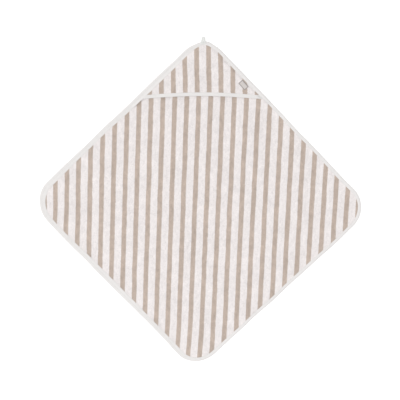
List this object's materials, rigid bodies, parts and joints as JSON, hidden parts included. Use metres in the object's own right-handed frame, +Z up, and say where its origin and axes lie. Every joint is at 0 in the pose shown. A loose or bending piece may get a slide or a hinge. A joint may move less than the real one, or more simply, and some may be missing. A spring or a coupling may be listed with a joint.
{
  "type": "hooded baby towel",
  "caption": "Square striped terry towel with rounded corners, a hood across one corner, bound edges and a hanging loop; lies flat, dries and wraps a baby.",
  "frame": {"origin": "middle of the whole object's box, on the surface that it lies on", "axes": "+Y from the towel's middle to the hood's corner and its loop, +X to the right, +Z up out of the cloth"},
  "size_m": [0.992, 1.014, 0.0099],
  "materials": {
    "striped_terry": "looped terry cloth, white with narrow beige stripes",
    "binding_tape": "matt white cotton tape, folded and stitched",
    "loop_tape": "matt white cotton tape",
    "woven_label": "plain woven ribbon, greige, blank",
    "sewing_thread": "white spun thread",
    "label_thread": "grey spun thread"
  },
  "bodies": {
    "towel": {"body_panel": "striped_terry", "edge_binding": "binding_tape", "edge_needle_thread": "sewing_thread", "edge_bobbin_thread": "sewing_thread", "loop_bartack": "sewing_thread"},
    "hood": {"hood_panel": "striped_terry", "hood_mouth_binding": "binding_tape", "mouth_needle_thread": "sewing_thread", "mouth_bobbin_thread": "sewing_thread", "hood_label": "woven_label", "label_thread": "label_thread"},
    "loop": {"hanging_loop": "loop_tape"}
  },
  "joints": [
    {"name": "hood_open", "type": "hinge", "parent": "towel", "child": "hood", "pos_m": [0, 0.47215, 0.0083], "axis": [-1, 0, 0], "range_deg": [0, 18]},
    {"name": "loop_swing", "type": "hinge", "parent": "towel", "child": "loop", "pos_m": [0, 0.48195, 0.0072], "axis": [1, 0, 0], "range_deg": [0, 150]}
  ]
}
